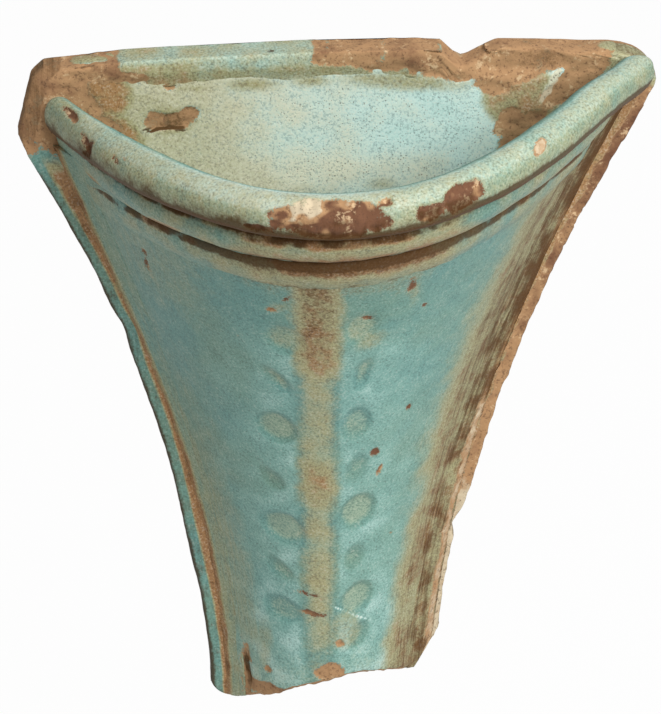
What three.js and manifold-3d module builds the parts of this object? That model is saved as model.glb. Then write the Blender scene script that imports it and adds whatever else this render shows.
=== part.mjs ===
// A hand-built faience wall vase: a bowed clay pocket luted to a flat slab, then glazed and fired.
// Millimetres, +Z up. The slab's back lies on the wall plane Y = 0 and the front faces -Y.
// Z = 0 is the level of the mouth and X = 0 is the slab's middle line.
import * as THREE from "three";
import { mergeVertices } from "three/addons/utils/BufferGeometryUtils.js";
import Module from "manifold-3d";

// Overall form, from the mouth down to the level where the taper runs out
const VASE_LENGTH = 190;
const SLIP_JOINT = 0.3;

// Back slab
const SLAB_THICKNESS = 8;
const SLAB_HALF_WIDTH_MOUTH = 82;
const SLAB_HALF_WIDTH_LOW = 31;
const SLAB_RISE = 9.3;
const SLAB_EDGE_ROUND = 1.4;
const TOP_CREST = 10;
const TOP_BOW = 4.2;
const CORNER_RADIUS = 11;
const CORNER_BREAK_HEIGHT = 22;
const CORNER_BREAK_INSET = 6;

// V-shaped chip in the top edge
const CHIP_AT = 32.5;
const CHIP_DEPTH = 3.6;
const CHIP_LEFT = 6;
const CHIP_RIGHT = 8;

// Front wall
const WALL_THICKNESS = 7.5;
const FRONT_DEPTH_MOUTH = 65.5;
const FRONT_DEPTH_LOW = 17;
const BARE_FLANGE = 4;
const LEFT_SET_IN = 9;
const MOUTH_TILT = 0.07;

// Rim roll, cordon and band, each laid round the front
const ROLL_RADIUS = 5.3;
const ROLL_PRESSED = 1.5;
const ROLL_SET_IN = 1.4;
const ROLL_LEFT_END = 3.1;
const ROLL_RIGHT_END = 4.5;
const ROLL_TAPER = 0.35;
const UPPER_GROOVE = 3.6;
const CORDON_HEIGHT = 7.4;
const CORDON_PROUD = 2.4;
const LOWER_GROOVE = 0.9;
const BAND_HEIGHT = 7.6;
const BAND_PROUD = 1.2;

// Lip coil along the top of the slab, inside the mouth
const LIP_LENGTH = 80.5;
const LIP_HEIGHT = 5.6;
const LIP_PROUD = 2.2;
const LIP_DROP = 0.8;

// Clay worked into the seams, and the floor
const FILLET_REACH = 1.8;
const FILLET_HEIGHT = 8;
const FILLET_FULLNESS = 0.08;
const INNER_COIL_SIZE = 5;
const INNER_COIL_FULLNESS = 0.3;
const INNER_COIL_DROP = 10;
const FLOOR_ABOVE_BREAK = 29;

// Broken lower end: one slanting fracture through every piece, worn away at its right corner
const BREAK_ABOVE_LOW_END = 9;
const BREAK_RISE_TO_FRONT = 0.75;
const BREAK_RISE_TO_RIGHT = 0.18;
const WORN_CORNER_HEIGHT = 10.5;
const WORN_CORNER_WIDTH = 7;

// Facets
const STEPS_ACROSS = 26;
const STEPS_UP = 14;
const ROLL_SIDES = 12;
const STRIP_STEPS = 4;

// Levels and faces that follow from the sizes above
const LOW_END = -VASE_LENGTH;
const SLAB_FACE = -SLAB_THICKNESS - SLIP_JOINT;
const CORNER_BREAK_LEVEL = SLAB_RISE - CORNER_BREAK_HEIGHT;
const ROLL_SEAT = ROLL_RADIUS - ROLL_PRESSED;
const WALL_TOP = -ROLL_SEAT - SLIP_JOINT;
const CORDON_LEVEL = WALL_TOP - UPPER_GROOVE - CORDON_HEIGHT / 2;
const BAND_LEVEL = CORDON_LEVEL - CORDON_HEIGHT / 2 - LOWER_GROOVE - BAND_HEIGHT / 2;
const BREAK_LEVEL = LOW_END + BREAK_ABOVE_LOW_END;
const BREAK_RISE_AT_EDGE = SLAB_HALF_WIDTH_LOW * BREAK_RISE_TO_RIGHT;
const BREAK_LOWEST = BREAK_LEVEL - SLAB_THICKNESS * BREAK_RISE_TO_FRONT - BREAK_RISE_AT_EDGE;
const FLOOR_LEVEL = BREAK_LEVEL + FLOOR_ABOVE_BREAK;

// The clay runs on this far under the fracture until the lower end is broken off
const SPARE_CLAY = 5;
const CLAY_END = BREAK_LOWEST - SPARE_CLAY;

// The front wall's foot stands this far inside the slab's edge, and leaves the slab at this slant
const WALL_SET_IN = BARE_FLANGE + FILLET_REACH;
const FOOT_SLOPE = (2 * FRONT_DEPTH_MOUTH) / (SLAB_HALF_WIDTH_MOUTH - WALL_SET_IN);
const FOOT_SINE = FOOT_SLOPE / Math.hypot(1, FOOT_SLOPE);

const { lerp, smoothstep } = THREE.MathUtils;
const wasm = await Module();
wasm.setup();

// How far the trumpet flare has opened at a height: 0 at the low end, 1 at the mouth.
function flare(z) {
  return ((z - LOW_END) / VASE_LENGTH) ** 2;
}

function slabHalfWidth(z) {
  return lerp(SLAB_HALF_WIDTH_LOW, SLAB_HALF_WIDTH_MOUTH, flare(z));
}

function topEdge(x) {
  return SLAB_RISE - TOP_BOW * ((x - TOP_CREST) / SLAB_HALF_WIDTH_MOUTH) ** 2;
}

// A point of the front's outer face moved inset millimetres into the clay (negative is outside it).
// across runs from -1 at the left foot to 1 at the right foot; each level section is a parabola.
function frontPoint(across, z, inset) {
  const footInset = inset / FOOT_SINE;
  const right = slabHalfWidth(z) - WALL_SET_IN - footInset;
  const left = -right + LEFT_SET_IN * flare(z) ** 3;
  const depth = lerp(FRONT_DEPTH_LOW, FRONT_DEPTH_MOUTH, flare(z)) - inset;
  const x = lerp(left, right, (across + 1) / 2);
  const y = SLAB_FACE - depth * (1 - across ** 2);
  return new THREE.Vector3(x, y, z + MOUTH_TILT * flare(z) * x);
}

// Where along the section the wall stands a given depth in front of the slab.
function acrossAtDepth(z, depth, inset) {
  const full = lerp(FRONT_DEPTH_LOW, FRONT_DEPTH_MOUTH, flare(z)) - inset;
  return Math.sqrt(1 - depth / full);
}

function steps(from, to, count) {
  return Array.from({ length: count + 1 }, (_, i) => lerp(from, to, i / count));
}

// A closed solid through rings of equal length, with flat-fanned ends, facing outwards.
function loft(rings) {
  const size = rings[0].length;
  const points = rings.flat();
  const faces = [];
  for (let r = 0; r + 1 < rings.length; r++) {
    for (let i = 0; i < size; i++) {
      const a = r * size + i;
      const b = r * size + ((i + 1) % size);
      faces.push(a, b, b + size, a, b + size, a + size);
    }
  }
  const last = (rings.length - 1) * size;
  for (const [a, b, c] of endTriangles(rings[0])) {
    faces.push(c, b, a);
  }
  for (const [a, b, c] of endTriangles(rings[rings.length - 1])) {
    faces.push(last + a, last + b, last + c);
  }
  if (signedVolume(points, faces) < 0) faces.reverse();
  return new THREE.BufferGeometry().setFromPoints(points).setIndex(faces);
}

// Triangles that close a ring, worked out in the plane that the ring lies nearest to.
function endTriangles(ring) {
  const size = new THREE.Box3().setFromPoints(ring).getSize(new THREE.Vector3());
  const thin = Math.min(size.x, size.y, size.z);
  const [first, second] = ["x", "y", "z"].filter((axis) => size[axis] > thin);
  const flat = ring.map((p) => new THREE.Vector2(p[first], p[second]));
  const triangles = THREE.ShapeUtils.triangulateShape(flat, []);
  const turned = THREE.ShapeUtils.isClockWise(flat);
  return turned ? triangles.map(([a, b, c]) => [c, b, a]) : triangles;
}

function signedVolume(points, faces) {
  let sum = 0;
  const normal = new THREE.Vector3();
  for (let i = 0; i < faces.length; i += 3) {
    const [a, b, c] = [points[faces[i]], points[faces[i + 1]], points[faces[i + 2]]];
    sum += a.dot(normal.crossVectors(b, c));
  }
  return sum;
}

function solidOf(geometry) {
  const plain = new THREE.BufferGeometry();
  plain.setAttribute("position", geometry.getAttribute("position"));
  plain.setIndex(geometry.index);
  const merged = mergeVertices(plain, 1e-3);
  const vertProperties = merged.getAttribute("position").array;
  const triVerts = new Uint32Array(merged.index.array);
  return new wasm.Manifold(new wasm.Mesh({ numProp: 3, vertProperties, triVerts }));
}

function geometryOf(solid) {
  const mesh = solid.getMesh();
  const geometry = new THREE.BufferGeometry();
  geometry.setAttribute("position", new THREE.BufferAttribute(mesh.vertProperties, 3));
  return geometry.setIndex(new THREE.BufferAttribute(mesh.triVerts, 1));
}

// A large block whose top lies on the plane through a point, square to the normal.
function blockUnder(point, normal) {
  const reach = VASE_LENGTH * 2;
  const block = new THREE.BoxGeometry(reach, reach, VASE_LENGTH);
  block.translate(0, 0, -VASE_LENGTH / 2);
  const up = new THREE.Vector3(0, 0, 1);
  block.applyQuaternion(new THREE.Quaternion().setFromUnitVectors(up, normal.normalize()));
  block.translate(point.x, point.y, point.z);
  return solidOf(block);
}

// What lies under the fracture is gone, and so is the corner at its right-hand end.
function breakLowerEnd(geometry) {
  const slope = new THREE.Vector3(-BREAK_RISE_TO_RIGHT, BREAK_RISE_TO_FRONT, 1);
  const lost = blockUnder(new THREE.Vector3(0, -SLAB_THICKNESS, BREAK_LEVEL), slope);
  const wearTop = BREAK_LEVEL + BREAK_RISE_AT_EDGE + WORN_CORNER_HEIGHT;
  const wearSlope = new THREE.Vector3(-WORN_CORNER_HEIGHT, 0, WORN_CORNER_WIDTH);
  const worn = blockUnder(new THREE.Vector3(SLAB_HALF_WIDTH_LOW, 0, wearTop), wearSlope);
  return geometryOf(solidOf(geometry).subtract(lost).subtract(worn));
}

// Back slab: a flared outline with a broken corner at the left and a chip in the top edge
function makeBackSlab() {
  const outline = new THREE.Shape();
  const cornerStart = SLAB_RISE - CORNER_RADIUS;
  const cornerTip = slabHalfWidth(cornerStart);
  const cornerEnd = cornerTip - CORNER_RADIUS;
  outline.moveTo(-slabHalfWidth(CLAY_END), CLAY_END);
  for (const z of steps(CLAY_END, cornerStart, STEPS_UP)) {
    outline.lineTo(slabHalfWidth(z), z);
  }
  outline.quadraticCurveTo(cornerTip, topEdge(cornerTip), cornerEnd, topEdge(cornerEnd));
  outline.lineTo(CHIP_AT + CHIP_RIGHT, topEdge(CHIP_AT + CHIP_RIGHT));
  outline.lineTo(CHIP_AT, topEdge(CHIP_AT) - CHIP_DEPTH);
  const breakTop = -slabHalfWidth(CORNER_BREAK_LEVEL) + CORNER_BREAK_INSET;
  for (const x of steps(CHIP_AT - CHIP_LEFT, breakTop, STRIP_STEPS)) {
    outline.lineTo(x, topEdge(x));
  }
  for (const z of steps(CORNER_BREAK_LEVEL, CLAY_END, STEPS_UP).slice(0, -1)) {
    outline.lineTo(-slabHalfWidth(z), z);
  }
  const slab = new THREE.ExtrudeGeometry(outline, {
    depth: SLAB_THICKNESS - 2 * SLAB_EDGE_ROUND,
    bevelThickness: SLAB_EDGE_ROUND,
    bevelSize: SLAB_EDGE_ROUND,
    bevelOffset: -SLAB_EDGE_ROUND,
    bevelSegments: 2,
    curveSegments: 5,
  });
  slab.translate(0, 0, SLAB_EDGE_ROUND);
  slab.rotateX(Math.PI / 2);
  return breakLowerEnd(slab);
}

// Front wall: level sections from below the break up to the seat of the rim roll
function makeFrontWall() {
  const across = steps(-1, 1, STEPS_ACROSS);
  const rings = steps(CLAY_END, WALL_TOP, STEPS_UP).map((z) => {
    const outer = across.map((u) => frontPoint(u, z, 0));
    const inner = across.map((u) => frontPoint(u, z, WALL_THICKNESS));
    return [...outer, ...inner.reverse()];
  });
  return breakLowerEnd(loft(rings));
}

// Half the roll's width: it thins towards its two ends, more so at the left.
function rollHalfWidth(across) {
  const end = across < 0 ? ROLL_LEFT_END : ROLL_RIGHT_END;
  return lerp(ROLL_RADIUS, end, smoothstep(Math.abs(across), 1 - ROLL_TAPER, 1));
}

// Rim roll: a round coil, flat below where it is pressed on the wall's upper edge
function makeRimRoll() {
  const seatAngle = Math.asin(ROLL_SEAT / ROLL_RADIUS);
  const angles = steps(-seatAngle, Math.PI + seatAngle, ROLL_SIDES);
  const rings = steps(-1, 1, STEPS_ACROSS).map((u) =>
    angles.map((angle) => {
      const point = frontPoint(u, 0, ROLL_SET_IN - rollHalfWidth(u) * Math.cos(angle));
      point.z += ROLL_RADIUS * Math.sin(angle);
      return point;
    }),
  );
  return loft(rings);
}

// A half-round strip laid on the outside of the front wall at one level
function makeStrip(level, height, proud) {
  const heights = steps(level - height / 2, level + height / 2, STRIP_STEPS);
  const rings = steps(-1, 1, STEPS_ACROSS).map((u) => {
    const back = heights.map((z) => frontPoint(u, z, -SLIP_JOINT));
    const inside = heights.slice(1, -1);
    const face = inside.map((z) => {
      const bulge = Math.sqrt(1 - ((z - level) / (height / 2)) ** 2);
      return frontPoint(u, z, -SLIP_JOINT - proud * bulge);
    });
    return [...back, ...face.reverse()];
  });
  return loft(rings);
}

// Back lip: a half-round coil on the slab's inner face, from the worn corner to the chip
function makeBackLip() {
  const right = CHIP_AT - CHIP_LEFT;
  const rings = steps(right - LIP_LENGTH, right, STEPS_UP).map((x) => {
    const middle = topEdge(x) - LIP_DROP - LIP_HEIGHT / 2;
    return steps(-Math.PI / 2, Math.PI / 2, ROLL_SIDES / 2).map((angle) => {
      const y = SLAB_FACE - LIP_PROUD * Math.cos(angle);
      return new THREE.Vector3(x, y, middle + (LIP_HEIGHT / 2) * Math.sin(angle));
    });
  });
  return loft(rings);
}

// A ring in the corner between wall and slab: a face from the slab to the wall, then down the wall.
function cornerRing(side, z, inset, reach, height, fullness) {
  const corner = frontPoint(side, z, inset);
  const onSlab = corner.clone();
  onSlab.x += reach;
  const top = acrossAtDepth(z, height, inset);
  const wallSide = steps(top, 1, STRIP_STEPS).map((u) => frontPoint(side * u, z, inset));
  const middle = onSlab.clone().add(wallSide[0]).multiplyScalar(0.5);
  const bend = middle.lerp(corner, -fullness);
  const face = new THREE.QuadraticBezierCurve3(onSlab, bend, wallSide[0]);
  return [...face.getPoints(STRIP_STEPS), ...wallSide.slice(1)];
}

// Outer seam fillet: clay wiped flat along the corner, from the break up to the lower band
function makeSeamFillet(side) {
  const top = BAND_LEVEL - BAND_HEIGHT / 2 - SLIP_JOINT;
  const rings = steps(CLAY_END, WALL_TOP, STEPS_UP)
    .filter((z) => z < top)
    .concat(top)
    .map((z) => cornerRing(side, z, -SLIP_JOINT, side * FILLET_REACH, FILLET_HEIGHT, FILLET_FULLNESS));
  return breakLowerEnd(loft(rings));
}

// Inner coil: full-faced, from the floor up to below the rim
function makeInnerCoil(side) {
  const size = INNER_COIL_SIZE;
  const inset = WALL_THICKNESS + SLIP_JOINT;
  const rings = steps(FLOOR_LEVEL + SLIP_JOINT, WALL_TOP - INNER_COIL_DROP, STEPS_UP).map((z) =>
    cornerRing(side, z, inset, -side * size, size, INNER_COIL_FULLNESS),
  );
  return loft(rings);
}

// Floor plug: fills the pocket's section from the floor level down to the break
function makeFloorPlug() {
  const across = steps(-1, 1, STEPS_ACROSS);
  const rings = steps(CLAY_END, FLOOR_LEVEL, STRIP_STEPS).map((z) =>
    across.map((u) => frontPoint(u, z, WALL_THICKNESS + SLIP_JOINT)),
  );
  return breakLowerEnd(loft(rings));
}

const TURQUOISE = { color: 0x86aea2, roughness: 0.45, metalness: 0 };
const WORN_TURQUOISE = { color: 0xa5ab93, roughness: 0.55, metalness: 0 };
const BARE_CLAY = { color: 0xa37c58, roughness: 0.9, metalness: 0 };

const vase = new THREE.Group();
vase.name = "faience_wall_vase";

function place(name, geometry, finish) {
  const mesh = new THREE.Mesh(geometry, new THREE.MeshStandardMaterial(finish));
  mesh.name = name;
  vase.add(mesh);
}

place("back_slab", makeBackSlab(), TURQUOISE);
place("front_wall", makeFrontWall(), TURQUOISE);
place("rim_roll", makeRimRoll(), WORN_TURQUOISE);
place("rim_cordon", makeStrip(CORDON_LEVEL, CORDON_HEIGHT, CORDON_PROUD), TURQUOISE);
place("lower_band", makeStrip(BAND_LEVEL, BAND_HEIGHT, BAND_PROUD), TURQUOISE);
place("back_lip", makeBackLip(), WORN_TURQUOISE);
place("left_seam_fillet", makeSeamFillet(-1), WORN_TURQUOISE);
place("right_seam_fillet", makeSeamFillet(1), WORN_TURQUOISE);
place("left_inner_coil", makeInnerCoil(-1), TURQUOISE);
place("right_inner_coil", makeInnerCoil(1), TURQUOISE);
place("floor_plug", makeFloorPlug(), BARE_CLAY);

export default vase;
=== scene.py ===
import math

import bmesh
import bpy
import numpy as np
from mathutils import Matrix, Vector, noise


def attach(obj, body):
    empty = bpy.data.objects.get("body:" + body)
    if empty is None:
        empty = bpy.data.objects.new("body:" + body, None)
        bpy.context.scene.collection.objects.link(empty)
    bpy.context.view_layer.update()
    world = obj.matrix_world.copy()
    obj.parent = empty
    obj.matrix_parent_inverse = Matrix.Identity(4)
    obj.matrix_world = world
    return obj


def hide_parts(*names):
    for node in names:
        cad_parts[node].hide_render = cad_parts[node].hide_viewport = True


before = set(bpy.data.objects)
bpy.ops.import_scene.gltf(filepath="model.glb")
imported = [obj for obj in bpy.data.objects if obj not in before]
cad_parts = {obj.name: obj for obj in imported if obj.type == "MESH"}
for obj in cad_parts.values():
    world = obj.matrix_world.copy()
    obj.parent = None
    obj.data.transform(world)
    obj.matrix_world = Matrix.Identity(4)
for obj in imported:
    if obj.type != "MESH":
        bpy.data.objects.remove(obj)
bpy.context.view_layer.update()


# Back slab
# The flat back of the vase: coarse brown clay rolled out to a slab, cut to a flaring outline and glazed.
# Every other piece is luted to its face with slip. Its corners, top and flanges are worn to the clay.
MM = 0.001
VASE_LENGTH = 190.0
SLAB_THICKNESS = 8.0
SLAB_FACE = -8.0
SLAB_ROUND = 1.5
HALF_WIDTH_MOUTH = 82.0
HALF_WIDTH_LOW = 31.0
SLAB_RISE = 9.3
TOP_BOW = 4.2
TOP_CREST = 10.0
CORNER_RADIUS = 11.0
CORNER_BREAK_LEVEL = -12.7
CORNER_BREAK_SLANT = 6.0 / 22.0
FLANGE_WIDTH = 4.4
BREAK_LEVEL = -181.0
BREAK_RISE_TO_FRONT = 0.75
BREAK_RISE_TO_RIGHT = 0.18
WORN_CORNER = (31.0, -164.9)
WORN_SLOPE = 1.5
LOW_CORNER_START, LOW_CORNER_RADIUS = -23.0, 8.2

# Worn detail of the outline: steps of the break and depths of the top's chip from left to right, the nick in
# the right edge, and where the left edge is worn in or stands out: level, half height and how far
STEPS_ACROSS = [-26, -13, -9, 0, 5, 9, 22]
STEPS_UP = [0.0, -1.5, -0.2, 0.0, 0.9, 0.8, -0.8]
CHIP_ACROSS = [28.6, 30.2, 32.0, 35.0, 37.9, 42.2]
CHIP_DOWN = [0.0, 2.9, 4.5, 3.9, 2.1, 0.0]
NICK_LEVEL, NICK_HALF_HEIGHT, NICK_DEPTH = -130.5, 2.6, 1.3
LEFT_EDGE_WEAR = [(-48, 26, -0.7), (-67, 5, -1.0), (-132, 22, 1.0)]


def between(start, end, share):
    """The value a share of the way from start to end"""
    return start + (end - start) * share


def ease(value, low, high):
    """A soft step, from 0 at the low value to 1 at the high one"""
    share = np.clip((value - low) / (high - low), 0.0, 1.0)
    return share * share * (3.0 - 2.0 * share)


def rough(points, grain, seed=0.0):
    """Even unevenness of clay, -1 to 1, with bumps as wide as the grain in millimetres"""
    shift = Vector((seed, -seed, 0.5 * seed))
    return np.array([noise.noise(Vector(point) / grain + shift) for point in points])


def spot(x, z, across, level, half_length, half_height, turn=0.0):
    """Millimetres inside an oval mark: negative outside, and most at its middle"""
    cosine = math.cos(math.radians(turn))
    sine = math.sin(math.radians(turn))
    along = (cosine * (x - across) + sine * (z - level)) / half_length
    upright = (cosine * (z - level) - sine * (x - across)) / half_height
    return (1.0 - np.hypot(along, upright)) * min(half_length, half_height)


def most(*amounts):
    """The largest of several amounts at each point"""
    return np.maximum.reduce(amounts)


def patches(x, z, marks):
    """Millimetres inside the nearest of several oval marks"""
    return most(*[spot(x, z, *mark) for mark in marks])


def flare(level):
    """How far the vase has opened at a level: 0 at the low end, 1 at the mouth"""
    return ((level + VASE_LENGTH) / VASE_LENGTH) ** 2


def half_width(level):
    """Half of the slab's width at a level"""
    return between(HALF_WIDTH_LOW, HALF_WIDTH_MOUTH, flare(level))


def break_level(x, y):
    """The broken lower end: a slanting fracture with steps, rounded at the left and worn at the right"""
    x = np.clip(x, -HALF_WIDTH_LOW, HALF_WIDTH_LOW)
    steps = np.interp(x, STEPS_ACROSS, STEPS_UP)
    slant = BREAK_RISE_TO_RIGHT * x + BREAK_RISE_TO_FRONT * (SLAB_FACE - y)
    past = np.clip(LOW_CORNER_START - x, 0, 0.98 * LOW_CORNER_RADIUS)
    rounding = LOW_CORNER_RADIUS - np.sqrt(LOW_CORNER_RADIUS ** 2 - past ** 2)
    worn = WORN_CORNER[1] - WORN_SLOPE * (WORN_CORNER[0] - x)
    return np.maximum(BREAK_LEVEL + slant + steps + rounding, worn)


def top_edge(x):
    """The bowed top with its V-shaped chip"""
    chip = np.interp(x, CHIP_ACROSS, CHIP_DOWN)
    shoulders = 0.6 * ease(np.abs(x - TOP_CREST), 30, 60)
    return SLAB_RISE - TOP_BOW * ((x - TOP_CREST) / HALF_WIDTH_MOUTH) ** 2 + shoulders - chip


def right_edge(level):
    """How far out the slab's right edge stands: rounded at the top, with a nick low down"""
    edge = half_width(np.minimum(level, 0.0))
    above = np.clip(level + 4.0, 0.0, CORNER_RADIUS)
    edge = edge - CORNER_RADIUS + np.sqrt(CORNER_RADIUS ** 2 - above ** 2)
    edge = edge + 1.0 * ease(level, -127, -118) * ease(-level, -4, 14)
    edge = edge - NICK_DEPTH * np.exp(-((level - NICK_LEVEL) / NICK_HALF_HEIGHT) ** 2)
    return edge - 0.6 * ease(-level, 126, 134)


def left_edge(level):
    """How far out the slab's left edge stands: broken off at the top and worn in below"""
    edge = half_width(np.minimum(level, CORNER_BREAK_LEVEL))
    edge = edge - CORNER_BREAK_SLANT * np.maximum(level - CORNER_BREAK_LEVEL, 0.0)
    for middle, half_height, out in LEFT_EDGE_WEAR:
        edge = edge + out * np.exp(-((level - middle) / half_height) ** 2)
    return edge - 2.2 * ease(level, 2.5, 6.5)


FACE_COLUMNS, EDGE_COLUMNS = 150, 10
SLAB_COLUMNS = 2 * (FACE_COLUMNS + EDGE_COLUMNS)
SLAB_ROWS = 210
EDGE_SHARE = EDGE_COLUMNS / SLAB_COLUMNS
END_SHARE = 6 / SLAB_ROWS


def slab_point(around, up):
    """Once around the slab's section: face, right edge, back, left edge; and from the break to the top"""
    face_share = 0.5 - EDGE_SHARE
    face = np.clip(around / face_share, 0, 1)
    right = np.clip((around - face_share) / EDGE_SHARE, 0, 1)
    back = np.clip((around - 0.5) / face_share, 0, 1)
    left = np.clip((around - 1 + EDGE_SHARE) / EDGE_SHARE, 0, 1)
    across = 2 * (face - back) - 1
    turn = math.pi * (right - left - 0.5)
    squareness = 0.55
    bulge = np.abs(np.cos(turn)) ** squareness
    y = 0.5 * SLAB_THICKNESS * (np.sign(np.sin(turn)) * np.abs(np.sin(turn)) ** squareness - 1)
    rise = np.clip((up - END_SHARE) / (1 - 2 * END_SHARE), 0, 1)
    rise = 1 - (0.45 * (1 - rise) + 0.55 * (1 - rise) ** 2)
    z = between(BREAK_LEVEL, SLAB_RISE, rise)
    side_line = np.stack([40 * np.sign(across), 0 * across, z], axis=1)
    ragged_side = 0.3 * rough(side_line, 9.0) + 0.12 * rough(side_line, 2.6)
    top_line = np.stack([60 * across, 0 * across, 0 * across], axis=1)
    ragged_top = 0.25 * rough(top_line, 5.0, 3.0)
    closing = 0.5 * math.pi * np.clip((up - 1 + END_SHARE) / END_SHARE, 0, 1)
    opening = np.clip(up / END_SHARE, 0, 1)
    narrowed = np.cos(closing) ** squareness * opening
    narrowed = np.where(closing > 1.57, 0.0, narrowed)
    y = y * narrowed - 0.5 * SLAB_THICKNESS * (1 - narrowed)
    rounded = ragged_top - SLAB_ROUND * (1 - np.sin(closing) ** squareness)
    for _ in range(4):
        edge = np.where(across > 0, right_edge(z), left_edge(z)) + ragged_side - SLAB_ROUND
        x = across * edge + np.sign(across) * SLAB_ROUND * bulge
        z = between(break_level(x, y), top_edge(x) + rounded, rise)
    return np.stack([x, y, z], axis=1)


def clay_sheet(columns, rows, place):
    """A closed sheet of clay whose points a function places, from two shares that run from 0 to 1"""
    sheet = bmesh.new()
    bmesh.ops.create_grid(sheet, x_segments=columns, y_segments=rows, size=0.5)
    shares = np.array([vert.co for vert in sheet.verts]) + 0.5
    share_layer = sheet.verts.layers.float_vector.new("share")
    for vert, share, point in zip(sheet.verts, shares, place(shares[:, 0], shares[:, 1])):
        vert[share_layer] = share
        vert.co = point
    bmesh.ops.remove_doubles(sheet, verts=sheet.verts, dist=0.02)
    open_edges = [edge for edge in sheet.edges if edge.is_boundary]
    bmesh.ops.holes_fill(sheet, edges=open_edges, sides=0)
    bmesh.ops.recalc_face_normals(sheet, faces=sheet.faces)
    sheet.normal_update()
    shares = np.array([vert[share_layer] for vert in sheet.verts])
    points = np.array([vert.co for vert in sheet.verts])
    outwards = np.array([vert.normal for vert in sheet.verts])
    sheet.verts.layers.float_vector.remove(share_layer)
    return sheet, shares[:, 0], shares[:, 1], points, outwards


# Glaze loss is given as millimetres inside a bare place: these stand for whole glaze and for bare clay
GLAZED, BARE = -9.0, 3.0


def ragged(loss, points):
    """Marks of lost glaze with the uneven edges that flaking leaves"""
    return loss + 1.0 * rough(points, 4.0, 7.0) + 0.5 * rough(points, 1.8, 9.0)


def wear_of(points, loss=GLAZED, stain=0.0, dirt=0.0, pale=0.0):
    """What the surface shows at each point: glaze loss, then amounts of stain, dirt and paleness"""
    wear = np.zeros((len(points), 4))
    for column, amount in enumerate((loss, stain, dirt, pale)):
        wear[:, column] = amount
    return wear


def settle(name, sheet, points, wear, flow, material):
    """Make a closed sheet one smooth piece that stands for its solid"""
    wear_layer = sheet.verts.layers.float_color.new("wear")
    flow_layer = sheet.verts.layers.float_vector.new("flow")
    for vert, point, marks, run in zip(sheet.verts, points, wear, flow):
        vert.co = point * MM
        vert[wear_layer] = marks
        vert[flow_layer] = run
    mesh = bpy.data.meshes.new(name)
    sheet.to_mesh(mesh)
    sheet.free()
    mesh.shade_smooth()
    mesh.materials.append(material)
    piece = bpy.data.objects.new(name + "_skin", mesh)
    bpy.context.scene.collection.objects.link(piece)
    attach(piece, "root")
    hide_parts(name)


def linear(hex_colour):
    """An sRGB hex colour as linear red, green, blue and alpha"""
    values = [int(hex_colour[start:start + 2], 16) / 255 for start in (1, 3, 5)]
    return [v / 12.92 if v <= 0.04045 else ((v + 0.055) / 1.055) ** 2.4 for v in values] + [1.0]


def add(tree, kind, inputs, **settings):
    """One shader node with its settings, and with its inputs linked or set"""
    made = tree.nodes.new("ShaderNode" + kind)
    for setting, value in settings.items():
        setattr(made, setting, value)
    for socket, value in inputs.items():
        if isinstance(value, bpy.types.NodeSocket):
            tree.links.new(value, made.inputs[socket])
        else:
            made.inputs[socket].default_value = value
    return made


# Weathered alkaline glaze over coarse brown clay: a thick turquoise glaze that has gone chalky and matt in
# the ground. It pools greener in hollows, is peppered with pinholes, and flakes off to the clay under it.
TURQUOISE = "#6a9c94"
GREY_GREEN = "#759a87"
LIGHT_TURQUOISE = "#8fbfb4"
CHALKY_TURQUOISE = "#d2efe8"
POOLED_GREEN = "#9fb398"
CREAM = "#e4dec0"
OLIVE = "#aaa477"
RUST = "#a8703a"
SIENNA = "#855634"
UMBER = "#4a3118"
PIT_SHADE = "#1f1d19"
GRAIN_LIGHT = "#f2f0e8"
CHALK = "#d8cbae"
CLAY_TAN = "#b28a62"
CLAY_RED_BROWN = "#724c34"
CLAY_DARK = "#553a28"
CLAY_LIGHT = "#d9bc94"

glaze = bpy.data.materials.new("weathered_turquoise_glaze")
glaze.use_nodes = True
tree = glaze.node_tree
shader = tree.nodes["Principled BSDF"]
position = add(tree, "TexCoord", {}).outputs["Object"]
wear = add(tree, "Attribute", {}, attribute_name="wear")
paleness = wear.outputs["Alpha"]
amounts = add(tree, "SeparateColor", {0: wear.outputs["Color"]}).outputs
flow = add(tree, "Attribute", {}, attribute_name="flow").outputs["Vector"]
streakiness = add(tree, "SeparateXYZ", {0: flow}).outputs[2]

# Patterns, each at its real size: clouds, mottling, grain, coarse grains of clay, pinholes, wiping streaks
CLOUD_MM, MOTTLE_MM, GRAIN_MM, CLAY_GRAIN_MM = 30.0, 4.0, 0.55, 0.9
PINHOLE_SPACING_MM = 0.65
STREAK_WIDTH_MM, STREAK_LENGTH_MM = 1.0, 24.0
patterns = {}
sizes = (
    ("cloud", CLOUD_MM, 2),
    ("mottle", MOTTLE_MM, 4),
    ("grain", GRAIN_MM, 3),
    ("clay", CLAY_GRAIN_MM, 4),
)
for pattern, size, detail in sizes:
    sized = {"Vector": position, "Scale": 1 / (size * MM), "Detail": detail, "Roughness": 0.62}
    patterns[pattern] = add(tree, "TexNoise", sized).outputs["Fac"]
along = add(tree, "Mapping", {0: flow, 3: (1 / STREAK_WIDTH_MM, 1 / STREAK_LENGTH_MM, 0)}).outputs[0]
streaky = {"Vector": along, "Scale": 1.0, "Detail": 4, "Roughness": 0.7}
streak = add(tree, "TexNoise", streaky).outputs["Fac"]
streak = add(tree, "Mix", {0: 0.4, 2: streak, 3: patterns["mottle"]}).outputs[0]
speck = add(tree, "Mix", {0: 0.7, 2: patterns["mottle"], 3: patterns["grain"]}).outputs[0]
blotch = add(tree, "Mix", {0: 0.6, 2: patterns["mottle"], 3: patterns["clay"]}).outputs[0]
smear = add(tree, "Mix", {0: streakiness, 2: blotch, 3: streak}).outputs[0]
pinholes = add(tree, "TexVoronoi", {"Vector": position, "Scale": 1 / (PINHOLE_SPACING_MM * MM)})

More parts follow.
